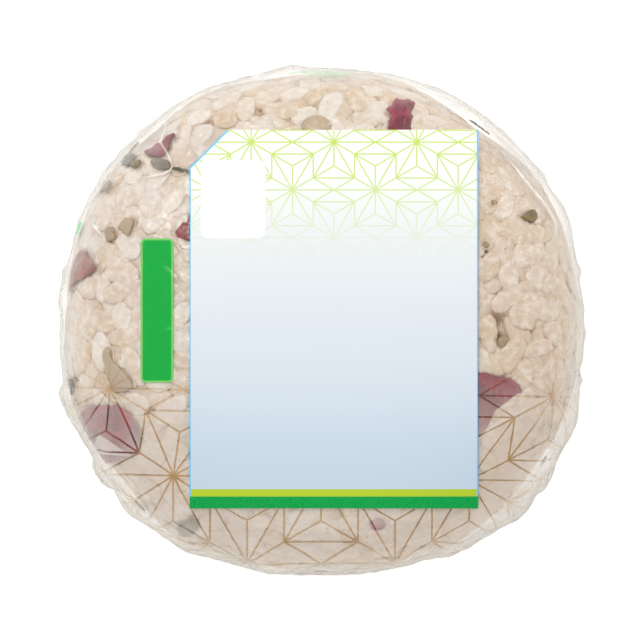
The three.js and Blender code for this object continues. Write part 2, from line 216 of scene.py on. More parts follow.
SEAWEED_PIECES = [
    (0.0, 0.1, [(-30.4, 24.2), (-30.1, 25.1), (-29.2, 25.6), (-28.3, 25.2), (-28.6, 24.2), (-28.9, 23.4),
        (-30.0, 23.6)]),
    (0.8, 0.0, [(-29.5, 23.9), (-28.8, 24.0), (-27.3, 24.4), (-27.1, 23.9), (-27.9, 23.0), (-28.9, 23.4)]),
    (0.0, 0.25, [(-25.8, 24.0), (-24.6, 24.5), (-23.4, 24.2), (-22.6, 23.6), (-22.8, 22.8), (-24.3, 22.7),
        (-25.5, 23.3)]),
    (0.0, 0.0, [(-22.6, 23.0), (-21.9, 23.1), (-20.7, 22.9), (-19.8, 22.5), (-19.8, 22.2), (-21.0, 22.4),
        (-22.3, 22.7)]),
    (0.8, 0.25, [(-33.7, 19.2), (-33.3, 20.4), (-32.4, 21.1), (-31.6, 21.0), (-31.9, 20.1),
        (-33.0, 19.7)]),
    (0.5, 0.62, [(-30.6, 13.8), (-30.4, 14.7), (-29.7, 15.5), (-28.8, 15.5), (-28.2, 15.0), (-28.6, 13.8),
        (-29.1, 12.5), (-29.7, 13.4)]),
    (0.6, 0.5, [(-32.7, 13.7), (-31.8, 14.2), (-31.0, 14.1), (-31.3, 13.2), (-30.9, 12.5), (-31.9, 11.9),
        (-32.5, 12.2)]),
    (0.0, 0.7, [(-32.5, -3.6), (-31.8, -4.2), (-31.6, -5.8), (-30.1, -7.3), (-28.6, -9.0), (-28.2, -10.0),
        (-29.7, -10.6), (-31.5, -10.9), (-32.5, -7.9), (-33.3, -4.9)]),
    (1.0, 0.0, [(29.6, 15.6), (30.6, 16.1), (31.2, 16.7), (31.8, 16.8), (32.4, 16.2), (32.3, 15.3),
        (31.7, 14.7), (30.8, 15.1)]),
    (0.3, 0.75, [(-3.0, 30.0), (-1.8, 30.8), (-0.3, 30.9), (1.1, 30.3), (1.4, 28.1), (-3.0, 28.1)]),
    (0.5, 0.1, [(-21.9, -31.0), (-20.7, -30.7), (-19.8, -29.5), (-19.0, -29.7), (-18.9, -30.7),
        (-18.4, -31.3), (-19.8, -32.4), (-21.3, -32.5)]),
    (0.9, 0.3, [(-28.9, -27.7), (-28.0, -27.3), (-27.0, -28.0), (-27.1, -29.4), (-28.3, -29.5)]),
    (0.0, 0.0, [(-38.9, -9.4), (-38.3, -8.5), (-37.3, -8.8), (-37.5, -10.6), (-38.3, -11.5),
        (-38.8, -10.9)]),
    (0.1, 0.0, [(22.8, 31.4), (24.3, 31.1), (25.8, 30.3), (26.7, 29.7), (26.4, 29.5), (24.6, 30.5),
        (23.1, 30.9)]),
    (1.0, 0.4, [(25.4, 18.0), (26.0, 18.3), (26.3, 17.7), (25.7, 17.3)]),
    (1.0, 0.4, [(24.2, 11.7), (24.6, 12.0), (25.1, 11.4), (24.6, 10.8)]),
    (1.0, 0.4, [(26.4, -2.4), (27.2, -2.1), (27.8, -2.8), (27.6, -3.9), (26.9, -4.0), (26.4, -3.3)]),
]

# The pieces' build, and those of the rim and back as [how many, size].
CHIP_THICKNESS = 0.6
CHIP_STEP = 0.45
CHIP_ROUNDING = 0.22
HIDDEN_PLUM = (14, 2.6)
HIDDEN_SEAWEED = (24, 1.6)
HIDDEN_ARCS = (50, 74)

# The print on the film: a hemp-leaf lattice whose lines are left clear, and a green strip.
PRINT_UNIT = 6.4
PRINT_STAR = (-22.3, -23.5)
PRINT_LINE = 0.27
PRINT_TURN = 24.8
PRINT_LEAN = 1.5
PRINT_TURNED = 0.02

# Leaves of the film's lattice that are printed denser, as the corners of each.
DENSE_LEAVES = [
    [(-33.6, -16.8), (-28.2, -20.4), (-34.6, -19.9)],
    [(30.2, -11.6), (35.2, -11.6), (28.6, -14.6), (24.4, -16.6)],
]
STRIP_CENTRE = (-24.7, 1.6)
STRIP_SIZE = (4.9, 21.6)
LABEL_UNIT = 3.58
LABEL_STAR = (12.4, 26.5)
LABEL_LINE = 0.2

# The camera looks straight down on the face; its picture is this wide at the rim's height.
VIEW_WIDTH = 96
VIEW_CENTRE = (-0.285, 0.165)
VIEW_HEIGHT = 27.0
LENS = 1600
SENSOR = 36
FLOOR_GLOW = 0.42
FLOOR_REACH = 6
WORLD_GLOW = 0.6

# Soft lights that face the pack, as [name, size, power, azimuth, elevation, distance].
LIGHTS = [
    ("key", 0.4, 3.2, 112, 58, 0.8),
    ("fill", 0.5, 1.3, -95, 38, 0.8),
    ("right_edge", 0.25, 0.8, 32, 24, 0.7),
    ("left_edge", 0.25, 0.25, 158, 24, 0.7),
]

rng = np.random.default_rng(SEED)


def linear(red, green, blue):
    """A colour of the usual 0 to 255 screen values, as the light values that a shader takes."""
    values = np.array([red, green, blue]) / 255
    return tuple(np.where(values <= 0.04045, values / 12.92, ((values + 0.055) / 1.055) ** 2.4))


def ease(low, high, value):
    """0 below low, 1 above high, and smooth between them."""
    share = np.clip((value - low) / (high - low), 0, 1)
    return share * share * (3 - 2 * share)


RICE_WHITE = linear(240, 233, 225)
RICE_PALE = linear(221, 210, 197)
RICE_WARM = linear(205, 181, 152)
RICE_ROSY = linear(212, 196, 186)
# Painted shade of rice that lies deep in gaps and hollows below the film: tan, then deep brown.
RICE_TAN = linear(194, 164, 132)
RICE_DEEP = linear(150, 116, 84)
RICE_SPECK = linear(134, 88, 44)
PRINT_GOLD = linear(230, 213, 185)
PRINT_WHITE = linear(230, 220, 211)
FILM_WHITE = linear(236, 231, 228)
VEIL_GREY = linear(214, 208, 200)
GLOSS_GREY = (0.64, 0.64, 0.6)
# Whites of the fold strips: the film doubled on itself, and a painted highlight.
FOLD_GREY = linear(238, 230, 223)
FOLD_WHITE = linear(252, 248, 243)
STRIP_GREEN = linear(0, 166, 62)
STRIP_EDGE = linear(110, 200, 96)
MARK_GREEN = linear(96, 204, 130)
LABEL_BLUE = linear(189, 204, 217)
LABEL_PALE = linear(210, 217, 224)


# The pack's form.


def plan_radius(angle):
    """How far the outline is from the middle at an angle, seen from above."""
    radius = np.full_like(angle, MEAN_RADIUS, dtype=float)
    for turns, size, phase in OUTLINE_WAVES:
        radius = radius + size * np.cos(turns * angle - math.radians(phase))
    return radius


def profile(rise, radius):
    """The side view: how far out and how high the surface is at an angle of rise over its middle."""
    reach = radius * np.cos(rise) ** (2 / FACE_POWER)
    depth = np.where(rise > 0, PACK_HEIGHT - MIDDLE_HEIGHT, BACK_DEPTH)
    height = MIDDLE_HEIGHT + depth * np.sign(rise) * np.abs(np.sin(rise)) ** (2 / RIM_POWER)
    return reach, np.maximum(height, BASE_HEIGHT)


def meridian():
    """Lengths along the side view from the middle of the face, and the rise at each."""
    side = np.linspace(1, -1, MERIDIAN_STEPS + 1)
    rise = np.sign(side) * (math.pi / 2) * (1 - (1 - np.abs(side)) ** MERIDIAN_POWER)
    reach, height = profile(rise, np.full_like(rise, MEAN_RADIUS))
    steps = np.hypot(np.diff(reach), np.diff(height))
    return np.concatenate([[0], np.cumsum(steps)]), rise, reach


ARCS, RISES, REACHES = meridian()
ARC_LENGTH = ARCS[-1]


def surface(angle, arc):
    """Points on the pack at an angle and at a length along the side view from the face's middle."""
    rise = np.interp(arc, ARCS, RISES)
    reach, height = profile(rise, plan_radius(angle))
    return np.stack([reach * np.cos(angle), reach * np.sin(angle), height], axis=-1)


def on_face(x, y):
    """Points of the face that lie at x, y in the plan."""
    angle = np.arctan2(y, x)
    share = np.minimum(np.hypot(x, y) / plan_radius(angle), 0.992)
    height = (1 - share**FACE_POWER) ** (1 / RIM_POWER)
    scale = share * plan_radius(angle) / np.maximum(np.hypot(x, y), 1e-9)
    z = MIDDLE_HEIGHT + (PACK_HEIGHT - MIDDLE_HEIGHT) * height
    return np.stack([x * scale, y * scale, z], axis=-1)


def level(points):
    """1 on the pack's surface and less inside it."""
    x, y, z = points[..., 0], points[..., 1], points[..., 2]
    share = np.hypot(x, y) / plan_radius(np.arctan2(y, x))
    depth = np.where(z > MIDDLE_HEIGHT, PACK_HEIGHT - MIDDLE_HEIGHT, BACK_DEPTH)
    return share**FACE_POWER + (np.abs(z - MIDDLE_HEIGHT) / depth) ** RIM_POWER


def gradient(points):
    """How fast the level grows along X, Y and Z."""
    step = 0.02
    parts = []
    for axis in range(3):
        move = np.zeros(3)
        move[axis] = step
        parts.append((level(points + move) - level(points - move)) / (2 * step))
    return np.stack(parts, axis=-1)


def outward(points):
    """Directions that point straight out of the pack."""
    slope = gradient(points)
    return slope / np.maximum(np.linalg.norm(slope, axis=-1, keepdims=True), 1e-9)


def depth_below(points):
    """How deep points lie below the pack's surface, closely so near it."""
    size = np.linalg.norm(gradient(points), axis=-1)
    return np.minimum((1 - level(points)) / np.maximum(size, 1e-3), points[..., 2] - BASE_HEIGHT)


def rim_share(points):
    """1 at the rim's height, falling to 0 on the face and on the back."""
    return np.exp(-(((points[..., 2] - MIDDLE_HEIGHT) / 11.5) ** 4))


def turned(angle, centre):
    """The angle from centre, in degrees between -180 and 180."""
    return (np.degrees(angle) - centre + 180) % 360 - 180


def rice_gap(points):
    """How far below the film the rice lies."""
    angle = np.arctan2(points[..., 1], points[..., 0])
    gap = np.full_like(angle, RIM_GAP)
    for centre, width, size in RIM_GAPS:
        gap = gap + size * np.exp(-((turned(angle, centre) / width) ** 2))
    return LEAST_GAP + gap * rim_share(points)


# Making pieces and materials.


def add_object(name, data):
    made = bpy.data.objects.new(name, data)
    bpy.context.scene.collection.objects.link(made)
    return made


def add_piece(name, material, points, faces, slot="rice_in_film", nodes=(), **attributes):
    """A piece of points in millimetres and of faces that all have as many corners.

    It rides on the pack, has a number for each point in each attribute, and stands for the nodes named.
    """
    faces = np.asarray(faces, dtype=np.int32)
    mesh = bpy.data.meshes.new(name)
    mesh.vertices.add(len(points))
    mesh.vertices.foreach_set("co", (np.asarray(points) * MM).astype(np.float32).ravel())
    mesh.loops.add(faces.size)
    mesh.loops.foreach_set("vertex_index", faces.ravel())
    mesh.polygons.add(len(faces))
    mesh.polygons.foreach_set("loop_start", np.arange(0, faces.size, faces.shape[1], dtype=np.int32))
    mesh.polygons.foreach_set("use_smooth", np.full(len(faces), True))
    mesh.update(calc_edges=True)
    mesh.validate()
    for key, values in attributes.items():
        layer = mesh.attributes.new(key, "FLOAT", "POINT")
        layer.data.foreach_set("value", np.asarray(values, dtype=np.float32))
    mesh.materials.append(material)
    piece = add_object(name, mesh)
    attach(piece, "root")
    if nodes:
        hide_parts(*nodes)
    return piece


def add_joined(name, material, parts):
    """One piece of several parts, each given as points, faces and its attributes by name."""
    sizes = [len(points) for points, faces, look in parts]
    starts = np.cumsum([0] + sizes)
    look = {
        key: np.concatenate([np.broadcast_to(part[2][key], size) for part, size in zip(parts, sizes)])
        for key in parts[0][2]
    }
    points = np.concatenate([part[0] for part in parts])
    add_piece(name, material, points, np.concatenate([p[1] + s for p, s in zip(parts, starts)]), **look)


def rings(arcs, columns):
    """The angle and the length along the side view of each point of a row of rings."""
    angle = np.arange(columns) * 2 * math.pi / columns
    return np.tile(angle, len(arcs)), np.repeat(arcs, columns)


def grid_faces(rows, columns, closed=True):
    """Quads between rows of points; a closed grid joins its last column to its first."""
    row, column = np.meshgrid(np.arange(rows - 1), np.arange(columns - (not closed)), indexing="ij")
    first = row * columns + column
    after = row * columns + (column + 1) % columns
    return np.stack([first, first + columns, after + columns, after], -1).reshape(-1, 4)


def closed_skin(points, columns, ends=None):
    """Rings of points closed by a point in the middle of each end, and the triangles of it all."""
    last = len(points) - columns
    if ends is None:
        ends = (points[:columns, 2].mean(), points[last:, 2].mean())
    ring = np.arange(columns)
    onward = (ring + 1) % columns
    middle = np.full(columns, len(points))
    quads = grid_faces(len(points) // columns, columns)
    caps = [np.stack([middle, ring, onward], -1), np.stack([middle + 1, last + onward, last + ring], -1)]
    faces = np.concatenate([quads[:, [0, 1, 2]], quads[:, [0, 2, 3]], *caps])
    return np.concatenate([points, [(0, 0, end) for end in ends]]), faces


def sheet_faces(rows, columns):
    """Quads of a thin sheet whose upper points come first, row by row, and then its lower ones."""
    size = rows * columns
    grid = np.arange(size).reshape(rows, columns)
    upper = grid_faces(rows, columns, closed=False)[:, ::-1]
    quads = [upper, upper[:, ::-1] + size]
    for edge in (grid[0, ::-1], grid[:, 0], grid[-1], grid[::-1, -1]):
        start, end = edge[:-1], edge[1:]
        quads.append(np.stack([start, end, end + size, start + size], -1))
    return np.concatenate(quads)


def worked(operation):
    """The method of Value that does one operation."""
    return lambda value, other=0.0: value.graph.math(operation, value, other)


class Value:
    """A number that a material works out at each place, with the usual arithmetic on it."""

    __add__ = worked("ADD")
    __sub__ = worked("SUBTRACT")
    __mul__ = worked("MULTIPLY")
    __truediv__ = worked("DIVIDE")
    __mod__ = worked("FLOORED_MODULO")
    __pow__ = worked("POWER")
    __gt__ = worked("GREATER_THAN")
    __lt__ = worked("LESS_THAN")
    __abs__ = worked("ABSOLUTE")
    at_least = worked("MAXIMUM")
    at_most = worked("MINIMUM")

    def __init__(self, graph, socket):
        self.graph = graph
        self.socket = socket

    def __rsub__(self, other):
        return self.graph.math("SUBTRACT", other, self)

    def span(self, low, high, start=0.0, end=1.0):
        """The place between low and high, smoothly, as a number from start to end."""
        smooth = {"interpolation_type": "SMOOTHSTEP"}
        made = self.graph.node("MapRange", self, low, high, start, end, settings=smooth)
        return Value(self.graph, made.outputs[0])


class Graph:
    """The nodes of one material. Places on the object are in millimetres."""

    def __init__(self, name):
        self.material = bpy.data.materials.new(name)
        self.material.use_nodes = True
        self.tree = self.material.node_tree
        self.tree.nodes.clear()
        where = self.node("TexCoord").outputs["Object"]
        scaled = self.node("VectorMath", settings={"operation": "SCALE"}, Vector=where, Scale=1 / MM)
        self.where = scaled.outputs[0]
        parts = self.node("SeparateXYZ", self.where).outputs
        self.x, self.y, self.z = (Value(self, part) for part in parts)

    def node(self, kind, *values, settings=None, **inputs):
        """A node with its settings, and with its inputs in order or by name."""
        made = self.tree.nodes.new("ShaderNode" + kind)
        for key, value in (settings or {}).items():
            setattr(made, key, value)
        for socket, value in zip(made.inputs, values):
            self.feed(socket, value)
        for key, value in inputs.items():
            self.feed(made.inputs[key.replace("_", " ")], value)
        return made

    def feed(self, socket, value):
        if isinstance(value, Value):
            value = value.socket
        if isinstance(value, bpy.types.NodeSocket):
            self.tree.links.new(value, socket)
        elif socket.type == "RGBA":
            socket.default_value = (*value, 1)
        else:
            socket.default_value = value

    def math(self, operation, first, second):
        return Value(self, self.node("Math", first, second, settings={"operation": operation}).outputs[0])

    def blend(self, share, first, second):
        """A colour between the first, at share 0, and the second, at share 1."""
        made = self.node("Mix", share, settings={"data_type": "RGBA"})
        self.feed(made.inputs[6], first)
        self.feed(made.inputs[7], second)
        return made.outputs[2]

    def tinted(self, colour, *tints):
        """A colour with others laid over it in turn, each by its share."""
        for share, tint in tints:
            colour = self.blend(share, colour, tint)
        return colour

    def attribute(self, name):
        return Value(self, self.node("Attribute", settings={"attribute_name": name}).outputs["Fac"])

    def noise(self, scale, detail=2.0, roughness=0.5, distortion=0.0, vector=None):
        vector = self.where if vector is None else vector
        made = self.node(
            "TexNoise", Vector=vector, Scale=scale, Detail=detail, Roughness=roughness, Distortion=distortion
        )
        return Value(self, made.outputs[0])

    def bump(self, height, distance, strength):
        """Distance is in metres."""
        return self.node("Bump", Height=height, Distance=distance, Strength=strength).outputs[0]

    def shine(self, least, most):
        """How much light a clear surface throws back: least seen straight on, most at a glance."""
        facing = Value(self, self.node("LayerWeight", Blend=0.5).outputs["Facing"])
        return facing**SHINE_POWER * (most - least) + least

    def shader(self, kind, colour, **inputs):
        return self.node("Bsdf" + kind, Color=colour, **inputs).outputs[0]

    def mix_shader(self, share, first, second):
        return self.node("MixShader", share, first, second).outputs[0]

    def close(self, shader):
        self.node("OutputMaterial", shader)
        return self.material

    def solid(self, colour, roughness, bump, specular=0.5):
        """The finished material of something that isn't see-through."""
        inputs = {"Base_Color": colour, "Roughness": roughness, "Specular_IOR_Level": specular}
        return self.close(self.node("BsdfPrincipled", Normal=bump, **inputs).outputs[0])


def folded(value, half):
    """The distance from value to the nearest multiple of twice half."""
    return abs((value + half) % (2 * half) - half)


def along_and_across(x, y, centre, degrees):
    """Lengths along and across a direction from a centre."""
    cosine = math.cos(math.radians(degrees))
    sine = math.sin(math.radians(degrees))
    x = x - centre[0]
    y = y - centre[1]
    return x * cosine + y * sine, y * cosine - x * sine


def hemp_leaf(x, y, star, unit, width):
    """1 on the lines of a hemp-leaf lattice with a star at that place, and 0 off them."""
    root = math.sqrt(3)
    x = folded((x - star[0]) / unit, root)
    y = folded((y - star[1]) / unit, 2.0)
    beyond = y > 1.0
    x = abs(x - beyond * root)
    y = abs(y - beyond * 2.0)
    nearest = x.at_most(y)
    for degrees in (30, 60):
        along, across = along_and_across(x, y, (0, 0), degrees)
        nearest = nearest.at_most(abs(across))
    for degrees in (-30, 0, 60, 90):
        along, across = along_and_across(x, y, (root / 2, 0.5), degrees)
        nearest = nearest.at_most(abs(across) + (along < -0.02))
    edge = width / unit / 2
    return nearest.span(edge * 0.6, edge * 1.4, 1.0, 0.0)


def inside(x, y, corners):
    """1 inside a shape with convex corners, listed clockwise, and 0 outside it."""
    least = 1.0
    for (x0, y0), (x1, y1) in zip(corners, corners[1:] + corners[:1]):
        size = math.hypot(x1 - x0, y1 - y0)
        across = (x - x0) * ((y1 - y0) / size) - (y - y0) * ((x1 - x0) / size)
        least = across.span(-0.05, 0.1).at_most(least)
    return least


def oval(x, y, centre, size, turn):
    """1 inside an oval, and 0 outside it."""
    along, across = along_and_across(x, y, centre, turn)
    return ((along / size[0]) ** 2.0 + (across / size[1]) ** 2.0).span(0.75, 1.15, 1.0, 0.0)


def rounded_box(x, y, centre, size, corner):
    """The distance outside a rectangle with round corners, and less than 0 inside it."""
    over_x = abs(x - centre[0]) - (size[0] / 2 - corner)
    over_y = abs(y - centre[1]) - (size[1] / 2 - corner)
    away = (over_x.at_least(0.0) ** 2.0 + over_y.at_least(0.0) ** 2.0) ** 0.5
    return away + over_x.at_least(over_y).at_most(0.0) - corner


# The rice.


def grain_shape():
    """Unit grain: points with X along the grain and Z out of the pack, and its triangles."""
    turn, ring = rings(np.radians(GRAIN_RINGS), GRAIN_SEGMENTS)
    points = np.stack([np.sin(ring) * np.cos(turn), np.sin(ring) * np.sin(turn), np.cos(ring)], -1)
    return closed_skin(points, GRAIN_SEGMENTS, (1, -1))


def tangents(normals, spin):
    """Two directions along the surface at each place, the first turned by spin."""
    helper = np.where(np.abs(normals[:, 2:]) < 0.8, [[0, 0, 1.0]], [[0, 1.0, 0]])
    side = np.cross(helper, normals)
    side /= np.linalg.norm(side, axis=1, keepdims=True)
    other = np.cross(normals, side)
    along = side * np.cos(spin)[:, None] + other * np.sin(spin)[:, None]
    return along, np.cross(normals, along)


def under_label(points, margin):
    """True where the label covers a place on the face by more than margin."""
    x = points[..., 0] - LABEL_CENTRE[0]
    y = points[..., 1] - LABEL_CENTRE[1]
    left = x + LABEL_WIDTH / 2
    top = np.minimum(LABEL_HEIGHT / 2, LABEL_HEIGHT / 2 - LABEL_CUT + left)
    inside = (left > margin) & (x < LABEL_WIDTH / 2 - margin)
    return inside & (y > margin - LABEL_HEIGHT / 2) & (y < top - margin) & (points[..., 2] > MIDDLE_HEIGHT)


def find_hollows():
    """Where the grains leave a hollow: those seen on the face, and others all round."""
    centres = [on_face(x, y) for x, y, radius in HOLLOWS]
    radii = [radius for x, y, radius in HOLLOWS]
    angle = rng.uniform(0, 2 * math.pi, MORE_HOLLOWS)
    arc = rng.uniform(44, 92, MORE_HOLLOWS)
    centres.extend(surface(angle, arc))
    radii.extend(rng.uniform(0.6, 1.3, MORE_HOLLOWS))
    return np.array(centres), np.array(radii)


def hollow_share(points):
    """1 in the middle of a hollow, falling to 0 a little beyond its radius."""
    share = np.zeros(points.shape[:-1])
    for centre, radius in zip(*hollows):
        share = np.maximum(share, np.exp(-((np.linalg.norm(points - centre, axis=-1) / radius) ** 2) * 0.8))
    return share


def spread_grains():
    """Places, directions and sizes of the grains, layer by layer, none crowding another."""
    found = []
    feet = np.empty((0, 3))
    weight = np.cumsum(REACHES + 1e-6)
    for depth, tries, own_clear, other_clear in LAYERS:
        angle = rng.uniform(0, 2 * math.pi, tries)
        places = surface(angle, np.interp(rng.uniform(0, weight[-1], tries), weight, ARCS))
        normals = outward(places)
        along, across = tangents(normals, rng.uniform(0, math.pi, tries))
        length = rng.uniform(*GRAIN_LENGTHS, tries)
        width = rng.uniform(*GRAIN_WIDTHS, tries)
        hidden = under_label(places, LABEL_OVERLAP) | (hollow_share(places) > HOLLOW_EDGE)
        own = np.empty((tries * 3, 3))
        count = 0
        for i in np.flatnonzero(~hidden):
            stretch = (length[i] - width[i]) / 2
            trio = places[i] + along[i] * np.array([[-stretch], [0], [stretch]])
            if any(
                len(others) and np.linalg.norm(others - trio[:, None], axis=2).min() < width[i] * clear
                for others, clear in ((own[:count], own_clear), (feet, other_clear))
            ):
                continue
            own[count : count + 3] = trio
            count += 3
            found.append((places[i], normals[i], along[i], across[i], length[i], width[i], depth))
        feet = np.concatenate([feet, own[:count]])
    return found


def outline_gap(x, y, outline):
    """How far outside a many-sided outline each place lies, and 0 for those inside it."""
    corners = np.array(outline)
    onward = np.roll(corners, -1, axis=0)
    inside = np.zeros(x.shape, dtype=bool)
    nearest = np.full(x.shape, np.inf)
    for (x0, y0), (x1, y1) in zip(corners, onward):
        crosses = (y0 > y) != (y1 > y)
        reach = (x1 - x0) * (y - y0) / (y1 - y0 if y1 != y0 else 1e-9) + x0
        inside ^= crosses & (x < reach)
        share = ((x - x0) * (x1 - x0) + (y - y0) * (y1 - y0)) / ((x1 - x0) ** 2 + (y1 - y0) ** 2)
        share = np.clip(share, 0, 1)
        nearest = np.minimum(nearest, np.hypot(x - x0 - share * (x1 - x0), y - y0 - share * (y1 - y0)))
    return np.where(inside, 0.0, nearest)


def press_under_film(points, extra):
    """Points moved in until they lie below the film, flattened softly against it."""
    for _ in range(3):
        goal = rice_gap(points) + extra
        below = depth_below(points)
        excess = (goal - below) / PRESS_SOFTNESS
        push = np.where(excess > 20, goal - below, PRESS_SOFTNESS * np.log1p(np.exp(np.minimum(excess, 20))))
        points = points - outward(points) * push[..., None] * 0.85
    return points


def chip_cover(places, extra):
    """1 for each place that a piece of plum or seaweed lies over, falling to 0 round it."""
    cover = np.zeros(len(places))
    for tone, pale, outline in PLUM_PIECES + SEAWEED_PIECES:
        corners = np.array(outline)
        away = np.abs(places[:, :2] - corners.mean(0)).max(1)
        near = (away < np.ptp(corners, axis=0).max() + 1) & (places[:, 2] > MIDDLE_HEIGHT)
        gap = outline_gap(places[near, 0], places[near, 1], outline)
        cover[near] = np.maximum(cover[near], 1 - ease(0.0, 0.35, gap))
    for tone, pale, outline, lift, centre in extra:
        reach = np.abs(outline).max()
        away = np.linalg.norm(places - centre, axis=1)
        cover = np.maximum(cover, 1 - ease(0.8 * reach, 1.1 * reach, away))
    return cover


def make_rice(material, extra):
    shape, triangles = grain_shape()
    rows = spread_grains()
    count = len(rows)
    place, normal, along, across = (np.array([row[k] for row in rows]) for k in range(4))
    length, width, depth = (np.array([row[k] for row in rows]) for k in range(4, 7))
    tall = GRAIN_TALL * rng.uniform(0.92, 1.12, count)
    tilt = rng.normal(0, 0.07, (count, 2))
    taper = rng.uniform(-0.14, 0.14, (count, 1))
    bend = rng.uniform(-0.05, 0.05, (count, 1))
    phase = rng.uniform(0, 2 * math.pi, (count, 2))

    x = np.sign(shape[:, 0]) * np.abs(shape[:, 0]) ** 0.9 * length[:, None] / 2
    y = shape[:, 1] * width[:, None] / 2 * (1 + taper * shape[:, 0]) + bend * x * x
    z = np.sign(shape[:, 2]) * np.abs(shape[:, 2]) ** 0.9 * tall[:, None]
    way = rng.normal(0, 1, (count, 2, 3))
    way *= rng.uniform(2.4, 4.6, (count, 2, 1)) / np.linalg.norm(way, axis=2, keepdims=True)
    swell = 1 + 0.085 * np.sin(way[:, 0] @ shape.T + phase[:, :1])
    swell *= 1 + 0.07 * np.sin(way[:, 1] @ shape.T + phase[:, 1:])

    out = normal + along * tilt[:, :1] + across * tilt[:, 1:]
    out /= np.linalg.norm(out, axis=1, keepdims=True)
    first = along - out * (along * out).sum(1, keepdims=True)
    first /= np.linalg.norm(first, axis=1, keepdims=True)
    second = np.cross(out, first)
    settle = depth + rng.uniform(0, 0.26, count)
    centre = place - normal * (tall * GRAIN_REST + rice_gap(place) + settle)[:, None]
    points = centre[:, None] + (x * swell)[..., None] * first[:, None]
    points += (y * swell)[..., None] * second[:, None] + z[..., None] * out[:, None]
    sunk = CHIP_THICKNESS * 0.95 * chip_cover(points.reshape(-1, 3), extra).reshape(count, -1)
    points = press_under_film(points, settle[:, None] * 0.7 + sunk)

    # How deep each point lies under the film; the rice material paints shade by it.
    below = depth_below(points) - rice_gap(points)
    tone = np.repeat(rng.uniform(0, 1, count), len(shape))
    faces = triangles[None] + (np.arange(count) * len(shape))[:, None, None]
    points = points.reshape(-1, 3)
    add_piece("rice_grains", material, points, faces.reshape(-1, 3), tone=tone, below=below.ravel())


def make_core(material, extra):
    """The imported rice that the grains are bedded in, close below them."""
    nominal = surface(*rings(np.linspace(0.6, ARC_LENGTH - 0.6, CORE_ROWS), CORE_COLUMNS))
    depth = CORE_DEPTH + HOLLOW_DEPTH * hollow_share(nominal)
    for number, (size, height) in enumerate(CORE_LUMPS):
        depth += height * smooth_noise(nominal, size, 21 + number)
    depth = np.maximum(depth, 0.1) + CHIP_THICKNESS * 0.9 * chip_cover(nominal, extra)
    points = nominal - outward(nominal) * (rice_gap(nominal) + depth)[:, None]
    points[:, 2] = np.maximum(points[:, 2], BASE_HEIGHT + 0.5)
    points, faces = closed_skin(points, CORE_COLUMNS)
    # How deep the bed lies, deepest in the hollows; the rice material paints shade by it.
    below = np.concatenate([depth * 0.8, [1, 1]])
    add_piece("rice_core", material, points, faces, tone=np.full(len(points), 0.55), below=below)


# The pieces of plum and seaweed.


def chip_mesh(outline, to_surface, fray, seed):
    """A closed thin piece: its outline filled with small triangles, lifted on to the surface."""
    draw = np.random.default_rng(seed)
    corners = np.array(outline, dtype=float)
    onward = np.roll(corners, -1, axis=0)
    cuts = [corners + (onward - corners) * share for share in (CHIP_ROUNDING, 1 - CHIP_ROUNDING)]
    corners = np.stack(cuts, 1).reshape(-1, 2)
    edge = []
    for start, end in zip(corners, np.roll(corners, -1, axis=0)):
        steps = max(1, int(np.linalg.norm(end - start) / CHIP_STEP))
        for k in range(steps):
            edge.append(start + (end - start) * k / steps + draw.normal(0, fray, 2))
    edge = np.array(edge)
    xs, ys = (np.arange(low, high, CHIP_STEP) for low, high in zip(edge.min(0), edge.max(0)))
    inner = np.array([(x, y) for x in xs for y in ys])
    inner = inner + draw.normal(0, 0.05, inner.shape)
    inner = inner[outline_gap(inner[:, 0], inner[:, 1], edge) == 0]
    count = len(edge)
    loop = [(i, (i + 1) % count) for i in range(count)]
    filled = [Vector(p) for p in np.concatenate([edge, inner]).tolist()]
    made = delaunay_2d_cdt(filled, loop, [list(range(count))], 1, 1e-5)
    flat = np.array([tuple(p) for p in made[0]])
    faces = [tuple(face) for face in made[2]]
    pairs = {pair for a, b, c in faces for pair in ((a, b), (b, c), (c, a))}
    border = sorted((a, b) for a, b in pairs if (b, a) not in pairs)
    rim = flat[[a for a, b in border]]
    dome = 1 - np.exp(-np.linalg.norm(flat[:, None] - rim, axis=2).min(1) / 0.45)
    ripple = 0.12 * np.sin(flat @ np.array([1.9, 1.1]) + seed) * np.sin(flat @ np.array([-0.9, 2.3]))
    top = to_surface(flat, 0.25 * (1 - dome) + np.abs(ripple))
    low_side = to_surface(flat, CHIP_THICKNESS * (0.8 + 0.2 * dome))
    size = len(flat)
    triangles = faces + [(c + size, b + size, a + size) for a, b, c in faces]
    for a, b in border:
        triangles += [(b, a, a + size), (b, a + size, b + size)]
    return np.concatenate([top, low_side]), np.array(triangles), np.concatenate([dome, dome * 0])


def plan_surface(flat, depth):
    """Points at a depth below the film that still lie at their outline's x, y in the plan."""
    spot = flat
    for _ in range(5):
        places = on_face(spot[:, 0], spot[:, 1])
        inwards = outward(places) * (LEAST_GAP * 0.5 + rice_gap(places) * 0.5 + depth)[:, None]
        spot = flat + inwards[:, :2]
    return places - inwards


def local_surface(place, along, across):
    """Maps flat outlines round a place on to the pack there."""

    def lift(flat, depth):
        points = place + flat[:, :1] * along + flat[:, 1:] * across
        for _ in range(4):
            points = points - outward(points) * (-depth_below(points))[:, None]
        return points - outward(points) * (LEAST_GAP * 0.5 + rice_gap(points) * 0.5 + depth)[:, None]

    return lift


